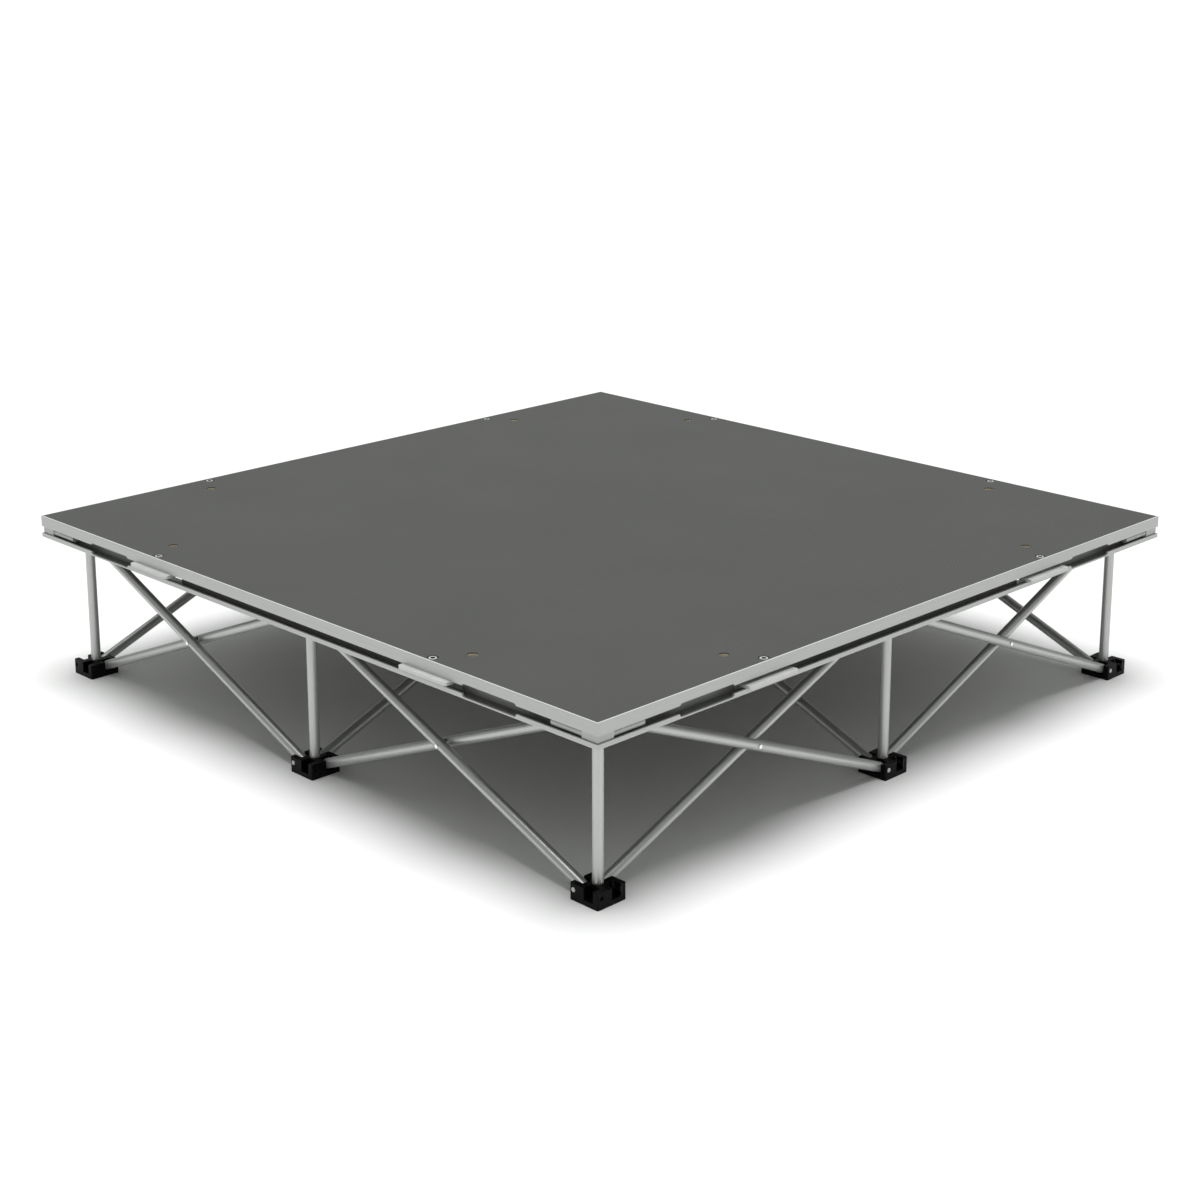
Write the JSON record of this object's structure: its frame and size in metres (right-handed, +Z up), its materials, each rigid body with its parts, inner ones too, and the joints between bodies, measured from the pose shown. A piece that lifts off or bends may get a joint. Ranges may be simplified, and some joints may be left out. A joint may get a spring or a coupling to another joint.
{
  "type": "stage riser platform",
  "caption": "Square stage riser platform: a framed anti-slip deck with turning edge latches on a folding scissor frame of tube struts, posts and black hub blocks.",
  "frame": {"origin": "centre of the footprint on the floor", "axes": "+Z up; +X and +Y along the deck's sides, towards rail_right and rail_back"},
  "size_m": [1.016, 1.016, 0.21],
  "materials": {
    "hub_plastic": "matte",
    "tube_aluminium": "satin",
    "rail_aluminium": "satin anodised",
    "key_aluminium": "raw",
    "latch_steel": "zinc plated",
    "plate_steel": "zinc plated",
    "board_wood": "sealed",
    "surface_film": "anti-slip grain",
    "screw_brass": "bright"
  },
  "bodies": {
    "foot_b2": {"foot_b2": "hub_plastic"},
    "strut_b2_c2": {"strut_b2_c2": "tube_aluminium"},
    "leg_c2": {"leg_c2": "tube_aluminium"},
    "strut_b2_b3": {"strut_b2_b3": "tube_aluminium"},
    "leg_b3": {"leg_b3": "tube_aluminium"},
    "strut_b2_a2": {"strut_b2_a2": "tube_aluminium"},
    "leg_a2": {"leg_a2": "tube_aluminium"},
    "strut_b2_b1": {"strut_b2_b1": "tube_aluminium"},
    "leg_b1": {"leg_b1": "tube_aluminium"},
    "strut_c3_c2": {"strut_c3_c2": "tube_aluminium"},
    "foot_c3": {"foot_c3": "hub_plastic"},
    "strut_c1_c2": {"strut_c1_c2": "tube_aluminium"},
    "foot_c1": {"foot_c1": "hub_plastic"},
    "strut_a3_a2": {"strut_a3_a2": "tube_aluminium"},
    "foot_a3": {"foot_a3": "hub_plastic"},
    "strut_a1_a2": {"strut_a1_a2": "tube_aluminium"},
    "foot_a1": {"foot_a1": "hub_plastic"},
    "strut_c3_b3": {"strut_c3_b3": "tube_aluminium"},
    "strut_a3_b3": {"strut_a3_b3": "tube_aluminium"},
    "strut_c1_b1": {"strut_c1_b1": "tube_aluminium"},
    "strut_a1_b1": {"strut_a1_b1": "tube_aluminium"},
    "strut_c2_b2": {"strut_c2_b2": "tube_aluminium"},
    "leg_b2": {"leg_b2": "tube_aluminium"},
    "foot_c2": {"foot_c2": "hub_plastic"},
    "strut_b3_b2": {"strut_b3_b2": "tube_aluminium"},
    "foot_b3": {"foot_b3": "hub_plastic"},
    "strut_a2_b2": {"strut_a2_b2": "tube_aluminium"},
    "foot_a2": {"foot_a2": "hub_plastic"},
    "strut_b1_b2": {"strut_b1_b2": "tube_aluminium"},
    "foot_b1": {"foot_b1": "hub_plastic"},
    "strut_c2_c3": {"strut_c2_c3": "tube_aluminium"},
    "leg_c3": {"leg_c3": "tube_aluminium"},
    "strut_c2_c1": {"strut_c2_c1": "tube_aluminium"},
    "leg_c1": {"leg_c1": "tube_aluminium"},
    "strut_a2_a3": {"strut_a2_a3": "tube_aluminium"},
    "leg_a3": {"leg_a3": "tube_aluminium"},
    "strut_a2_a1": {"strut_a2_a1": "tube_aluminium"},
    "leg_a1": {"leg_a1": "tube_aluminium"},
    "strut_b3_c3": {"strut_b3_c3": "tube_aluminium"},
    "strut_b3_a3": {"strut_b3_a3": "tube_aluminium"},
    "strut_b1_c1": {"strut_b1_c1": "tube_aluminium"},
    "strut_b1_a1": {"strut_b1_a1": "tube_aluminium"},
    "deck": {"rail_front": "rail_aluminium", "rail_right": "rail_aluminium", "rail_back": "rail_aluminium", "rail_left": "rail_aluminium", "deck_board": "board_wood", "deck_surface": "surface_film", "corner_keys": "key_aluminium", "deck_screws": "screw_brass", "catch_plates": "plate_steel"},
    "latch_front_1": {"latch_front_1": "latch_steel"},
    "latch_front_2": {"latch_front_2": "latch_steel"},
    "latch_right_1": {"latch_right_1": "latch_steel"},
    "latch_right_2": {"latch_right_2": "latch_steel"},
    "latch_back_1": {"latch_back_1": "latch_steel"},
    "latch_back_2": {"latch_back_2": "latch_steel"},
    "latch_left_1": {"latch_left_1": "latch_steel"},
    "latch_left_2": {"latch_left_2": "latch_steel"}
  },
  "joints": [
    {"name": "fold", "type": "hinge", "parent": "foot_b2", "child": "strut_b2_c2", "pos_m": [0.0145, 0.0065, 0.012], "axis": [0, -1, 0], "range_deg": [0, 65]},
    {"name": "strut_b2_c2_top_pin", "type": "hinge", "parent": "strut_b2_c2", "child": "leg_c2", "pos_m": [0.4435, 0.0065, 0.188], "axis": [0, -1, 0], "range_deg": [-65, 0]},
    {"name": "strut_b2_b3_foot_pin", "type": "hinge", "parent": "foot_b2", "child": "strut_b2_b3", "pos_m": [-0.0065, 0.0145, 0.012], "axis": [1, 0, 0], "range_deg": [0, 65]},
    {"name": "strut_b2_b3_top_pin", "type": "hinge", "parent": "strut_b2_b3", "child": "leg_b3", "pos_m": [-0.0065, 0.4435, 0.188], "axis": [1, 0, 0], "range_deg": [-65, 0]},
    {"name": "strut_b2_a2_foot_pin", "type": "hinge", "parent": "foot_b2", "child": "strut_b2_a2", "pos_m": [-0.0145, -0.0065, 0.012], "axis": [0, 1, 0], "range_deg": [0, 65]},
    {"name": "strut_b2_a2_top_pin", "type": "hinge", "parent": "strut_b2_a2", "child": "leg_a2", "pos_m": [-0.4435, -0.0065, 0.188], "axis": [0, 1, 0], "range_deg": [-65, 0]},
    {"name": "strut_b2_b1_foot_pin", "type": "hinge", "parent": "foot_b2", "child": "strut_b2_b1", "pos_m": [0.0065, -0.0145, 0.012], "axis": [-1, 0, 0], "range_deg": [0, 65]},
    {"name": "strut_b2_b1_top_pin", "type": "hinge", "parent": "strut_b2_b1", "child": "leg_b1", "pos_m": [0.0065, -0.4435, 0.188], "axis": [-1, 0, 0], "range_deg": [-65, 0]},
    {"name": "strut_c3_c2_top_pin", "type": "hinge", "parent": "leg_c2", "child": "strut_c3_c2", "pos_m": [0.4645, 0.0145, 0.188], "axis": [-1, 0, 0], "range_deg": [0, 65]},
    {"name": "strut_c3_c2_foot_pin", "type": "hinge", "parent": "strut_c3_c2", "child": "foot_c3", "pos_m": [0.4645, 0.4435, 0.012], "axis": [-1, 0, 0], "range_deg": [-65, 0]},
    {"name": "strut_c1_c2_top_pin", "type": "hinge", "parent": "leg_c2", "child": "strut_c1_c2", "pos_m": [0.4515, -0.0145, 0.188], "axis": [1, 0, 0], "range_deg": [0, 65]},
    {"name": "strut_c1_c2_foot_pin", "type": "hinge", "parent": "strut_c1_c2", "child": "foot_c1", "pos_m": [0.4515, -0.4435, 0.012], "axis": [1, 0, 0], "range_deg": [-65, 0]},
    {"name": "strut_a3_a2_top_pin", "type": "hinge", "parent": "leg_a2", "child": "strut_a3_a2", "pos_m": [-0.4515, 0.0145, 0.188], "axis": [-1, 0, 0], "range_deg": [0, 65]},
    {"name": "strut_a3_a2_foot_pin", "type": "hinge", "parent": "strut_a3_a2", "child": "foot_a3", "pos_m": [-0.4515, 0.4435, 0.012], "axis": [-1, 0, 0], "range_deg": [-65, 0]},
    {"name": "strut_a1_a2_top_pin", "type": "hinge", "parent": "leg_a2", "child": "strut_a1_a2", "pos_m": [-0.4645, -0.0145, 0.188], "axis": [1, 0, 0], "range_deg": [0, 65]},
    {"name": "strut_a1_a2_foot_pin", "type": "hinge", "parent": "strut_a1_a2", "child": "foot_a1", "pos_m": [-0.4645, -0.4435, 0.012], "axis": [1, 0, 0], "range_deg": [-65, 0]},
    {"name": "strut_c3_b3_top_pin", "type": "hinge", "parent": "leg_b3", "child": "strut_c3_b3", "pos_m": [0.0145, 0.4515, 0.188], "axis": [0, 1, 0], "range_deg": [0, 65]},
    {"name": "strut_a3_b3_top_pin", "type": "hinge", "parent": "leg_b3", "child": "strut_a3_b3", "pos_m": [-0.0145, 0.4645, 0.188], "axis": [0, -1, 0], "range_deg": [0, 65]},
    {"name": "strut_c1_b1_top_pin", "type": "hinge", "parent": "leg_b1", "child": "strut_c1_b1", "pos_m": [0.0145, -0.4645, 0.188], "axis": [0, 1, 0], "range_deg": [0, 65]},
    {"name": "strut_a1_b1_top_pin", "type": "hinge", "parent": "leg_b1", "child": "strut_a1_b1", "pos_m": [-0.0145, -0.4515, 0.188], "axis": [0, -1, 0], "range_deg": [0, 65]},
    {"name": "centre_rivet", "type": "hinge", "parent": "strut_b2_c2", "child": "strut_c2_b2", "pos_m": [0.229, 0, 0.1], "axis": [0, -1, 0], "range_deg": [-130, 0]},
    {"name": "strut_c2_b2_top_pin", "type": "hinge", "parent": "strut_c2_b2", "child": "leg_b2", "pos_m": [0.0145, -0.0065, 0.188], "axis": [0, 1, 0], "range_deg": [-65, 0]},
    {"name": "strut_c2_b2_foot_pin", "type": "hinge", "parent": "strut_c2_b2", "child": "foot_c2", "pos_m": [0.4435, -0.0065, 0.012], "axis": [0, 1, 0], "range_deg": [-65, 0]},
    {"name": "strut_b3_b2_top_pin", "type": "hinge", "parent": "leg_b2", "child": "strut_b3_b2", "pos_m": [0.0065, 0.0145, 0.188], "axis": [-1, 0, 0], "range_deg": [0, 65]},
    {"name": "strut_b3_b2_foot_pin", "type": "hinge", "parent": "strut_b3_b2", "child": "foot_b3", "pos_m": [0.0065, 0.4435, 0.012], "axis": [-1, 0, 0], "range_deg": [-65, 0]},
    {"name": "strut_a2_b2_top_pin", "type": "hinge", "parent": "leg_b2", "child": "strut_a2_b2", "pos_m": [-0.0145, 0.0065, 0.188], "axis": [0, -1, 0], "range_deg": [0, 65]},
    {"name": "strut_a2_b2_foot_pin", "type": "hinge", "parent": "strut_a2_b2", "child": "foot_a2", "pos_m": [-0.4435, 0.0065, 0.012], "axis": [0, -1, 0], "range_deg": [-65, 0]},
    {"name": "strut_b1_b2_top_pin", "type": "hinge", "parent": "leg_b2", "child": "strut_b1_b2", "pos_m": [-0.0065, -0.0145, 0.188], "axis": [1, 0, 0], "range_deg": [0, 65]},
    {"name": "strut_b1_b2_foot_pin", "type": "hinge", "parent": "strut_b1_b2", "child": "foot_b1", "pos_m": [-0.0065, -0.4435, 0.012], "axis": [1, 0, 0], "range_deg": [-65, 0]},
    {"name": "strut_c2_c3_foot_pin", "type": "hinge", "parent": "foot_c2", "child": "strut_c2_c3", "pos_m": [0.4515, 0.0145, 0.012], "axis": [1, 0, 0], "range_deg": [0, 65]},
    {"name": "strut_c2_c3_top_pin", "type": "hinge", "parent": "strut_c2_c3", "child": "leg_c3", "pos_m": [0.4515, 0.4435, 0.188], "axis": [1, 0, 0], "range_deg": [-65, 0]},
    {"name": "strut_c2_c1_foot_pin", "type": "hinge", "parent": "foot_c2", "child": "strut_c2_c1", "pos_m": [0.4645, -0.0145, 0.012], "axis": [-1, 0, 0], "range_deg": [0, 65]},
    {"name": "strut_c2_c1_top_pin", "type": "hinge", "parent": "strut_c2_c1", "child": "leg_c1", "pos_m": [0.4645, -0.4435, 0.188], "axis": [-1, 0, 0], "range_deg": [-65, 0]},
    {"name": "strut_a2_a3_foot_pin", "type": "hinge", "parent": "foot_a2", "child": "strut_a2_a3", "pos_m": [-0.4645, 0.0145, 0.012], "axis": [1, 0, 0], "range_deg": [0, 65]},
    {"name": "strut_a2_a3_top_pin", "type": "hinge", "parent": "strut_a2_a3", "child": "leg_a3", "pos_m": [-0.4645, 0.4435, 0.188], "axis": [1, 0, 0], "range_deg": [-65, 0]},
    {"name": "strut_a2_a1_foot_pin", "type": "hinge", "parent": "foot_a2", "child": "strut_a2_a1", "pos_m": [-0.4515, -0.0145, 0.012], "axis": [-1, 0, 0], "range_deg": [0, 65]},
    {"name": "strut_a2_a1_top_pin", "type": "hinge", "parent": "strut_a2_a1", "child": "leg_a1", "pos_m": [-0.4515, -0.4435, 0.188], "axis": [-1, 0, 0], "range_deg": [-65, 0]},
    {"name": "strut_b3_c3_foot_pin", "type": "hinge", "parent": "foot_b3", "child": "strut_b3_c3", "pos_m": [0.0145, 0.4645, 0.012], "axis": [0, -1, 0], "range_deg": [0, 65]},
    {"name": "strut_b3_a3_foot_pin", "type": "hinge", "parent": "foot_b3", "child": "strut_b3_a3", "pos_m": [-0.0145, 0.4515, 0.012], "axis": [0, 1, 0], "range_deg": [0, 65]},
    {"name": "strut_b1_c1_foot_pin", "type": "hinge", "parent": "foot_b1", "child": "strut_b1_c1", "pos_m": [0.0145, -0.4515, 0.012], "axis": [0, -1, 0], "range_deg": [0, 65]},
    {"name": "strut_b1_a1_foot_pin", "type": "hinge", "parent": "foot_b1", "child": "strut_b1_a1", "pos_m": [-0.0145, -0.4645, 0.012], "axis": [0, 1, 0], "range_deg": [0, 65]},
    {"name": "deck_lift", "type": "slide", "parent": "leg_b2", "child": "deck", "axis": [0, 0, 1], "range_m": [0, 0.06]},
    {"name": "latch_front_1_turn", "type": "hinge", "parent": "deck", "child": "latch_front_1", "pos_m": [-0.25, -0.4912, 0.192], "axis": [0, 0, 1], "range_deg": [0, 180]},
    {"name": "latch_front_2_turn", "type": "hinge", "parent": "deck", "child": "latch_front_2", "pos_m": [0.25, -0.4912, 0.192], "axis": [0, 0, 1], "range_deg": [0, 180]},
    {"name": "latch_right_1_turn", "type": "hinge", "parent": "deck", "child": "latch_right_1", "pos_m": [0.4912, -0.25, 0.192], "axis": [0, 0, 1], "range_deg": [0, 180]},
    {"name": "latch_right_2_turn", "type": "hinge", "parent": "deck", "child": "latch_right_2", "pos_m": [0.4912, 0.25, 0.192], "axis": [0, 0, 1], "range_deg": [0, 180]},
    {"name": "latch_back_1_turn", "type": "hinge", "parent": "deck", "child": "latch_back_1", "pos_m": [0.25, 0.4912, 0.192], "axis": [0, 0, 1], "range_deg": [0, 180]},
    {"name": "latch_back_2_turn", "type": "hinge", "parent": "deck", "child": "latch_back_2", "pos_m": [-0.25, 0.4912, 0.192], "axis": [0, 0, 1], "range_deg": [0, 180]},
    {"name": "latch_left_1_turn", "type": "hinge", "parent": "deck", "child": "latch_left_1", "pos_m": [-0.4912, 0.25, 0.192], "axis": [0, 0, 1], "range_deg": [0, 180]},
    {"name": "latch_left_2_turn", "type": "hinge", "parent": "deck", "child": "latch_left_2", "pos_m": [-0.4912, -0.25, 0.192], "axis": [0, 0, 1], "range_deg": [0, 180]}
  ],
  "couplings": [
    {"joint": "strut_b2_c2_top_pin", "follows": "fold", "ratio": -1},
    {"joint": "strut_b2_b3_foot_pin", "follows": "fold", "ratio": 1},
    {"joint": "strut_b2_b3_top_pin", "follows": "fold", "ratio": -1},
    {"joint": "strut_b2_a2_foot_pin", "follows": "fold", "ratio": 1},
    {"joint": "strut_b2_a2_top_pin", "follows": "fold", "ratio": -1},
    {"joint": "strut_b2_b1_foot_pin", "follows": "fold", "ratio": 1},
    {"joint": "strut_b2_b1_top_pin", "follows": "fold", "ratio": -1},
    {"joint": "strut_c3_c2_top_pin", "follows": "fold", "ratio": 1},
    {"joint": "strut_c3_c2_foot_pin", "follows": "fold", "ratio": -1},
    {"joint": "strut_c1_c2_top_pin", "follows": "fold", "ratio": 1},
    {"joint": "strut_c1_c2_foot_pin", "follows": "fold", "ratio": -1},
    {"joint": "strut_a3_a2_top_pin", "follows": "fold", "ratio": 1},
    {"joint": "strut_a3_a2_foot_pin", "follows": "fold", "ratio": -1},
    {"joint": "strut_a1_a2_top_pin", "follows": "fold", "ratio": 1},
    {"joint": "strut_a1_a2_foot_pin", "follows": "fold", "ratio": -1},
    {"joint": "strut_c3_b3_top_pin", "follows": "fold", "ratio": 1},
    {"joint": "strut_a3_b3_top_pin", "follows": "fold", "ratio": 1},
    {"joint": "strut_c1_b1_top_pin", "follows": "fold", "ratio": 1},
    {"joint": "strut_a1_b1_top_pin", "follows": "fold", "ratio": 1},
    {"joint": "centre_rivet", "follows": "fold", "ratio": -2},
    {"joint": "strut_c2_b2_top_pin", "follows": "fold", "ratio": -1},
    {"joint": "strut_c2_b2_foot_pin", "follows": "fold", "ratio": -1},
    {"joint": "strut_b3_b2_top_pin", "follows": "fold", "ratio": 1},
    {"joint": "strut_b3_b2_foot_pin", "follows": "fold", "ratio": -1},
    {"joint": "strut_a2_b2_top_pin", "follows": "fold", "ratio": 1},
    {"joint": "strut_a2_b2_foot_pin", "follows": "fold", "ratio": -1},
    {"joint": "strut_b1_b2_top_pin", "follows": "fold", "ratio": 1},
    {"joint": "strut_b1_b2_foot_pin", "follows": "fold", "ratio": -1},
    {"joint": "strut_c2_c3_foot_pin", "follows": "fold", "ratio": 1},
    {"joint": "strut_c2_c3_top_pin", "follows": "fold", "ratio": -1},
    {"joint": "strut_c2_c1_foot_pin", "follows": "fold", "ratio": 1},
    {"joint": "strut_c2_c1_top_pin", "follows": "fold", "ratio": -1},
    {"joint": "strut_a2_a3_foot_pin", "follows": "fold", "ratio": 1},
    {"joint": "strut_a2_a3_top_pin", "follows": "fold", "ratio": -1},
    {"joint": "strut_a2_a1_foot_pin", "follows": "fold", "ratio": 1},
    {"joint": "strut_a2_a1_top_pin", "follows": "fold", "ratio": -1},
    {"joint": "strut_b3_c3_foot_pin", "follows": "fold", "ratio": 1},
    {"joint": "strut_b3_a3_foot_pin", "follows": "fold", "ratio": 1},
    {"joint": "strut_b1_c1_foot_pin", "follows": "fold", "ratio": 1},
    {"joint": "strut_b1_a1_foot_pin", "follows": "fold", "ratio": 1}
  ]
}
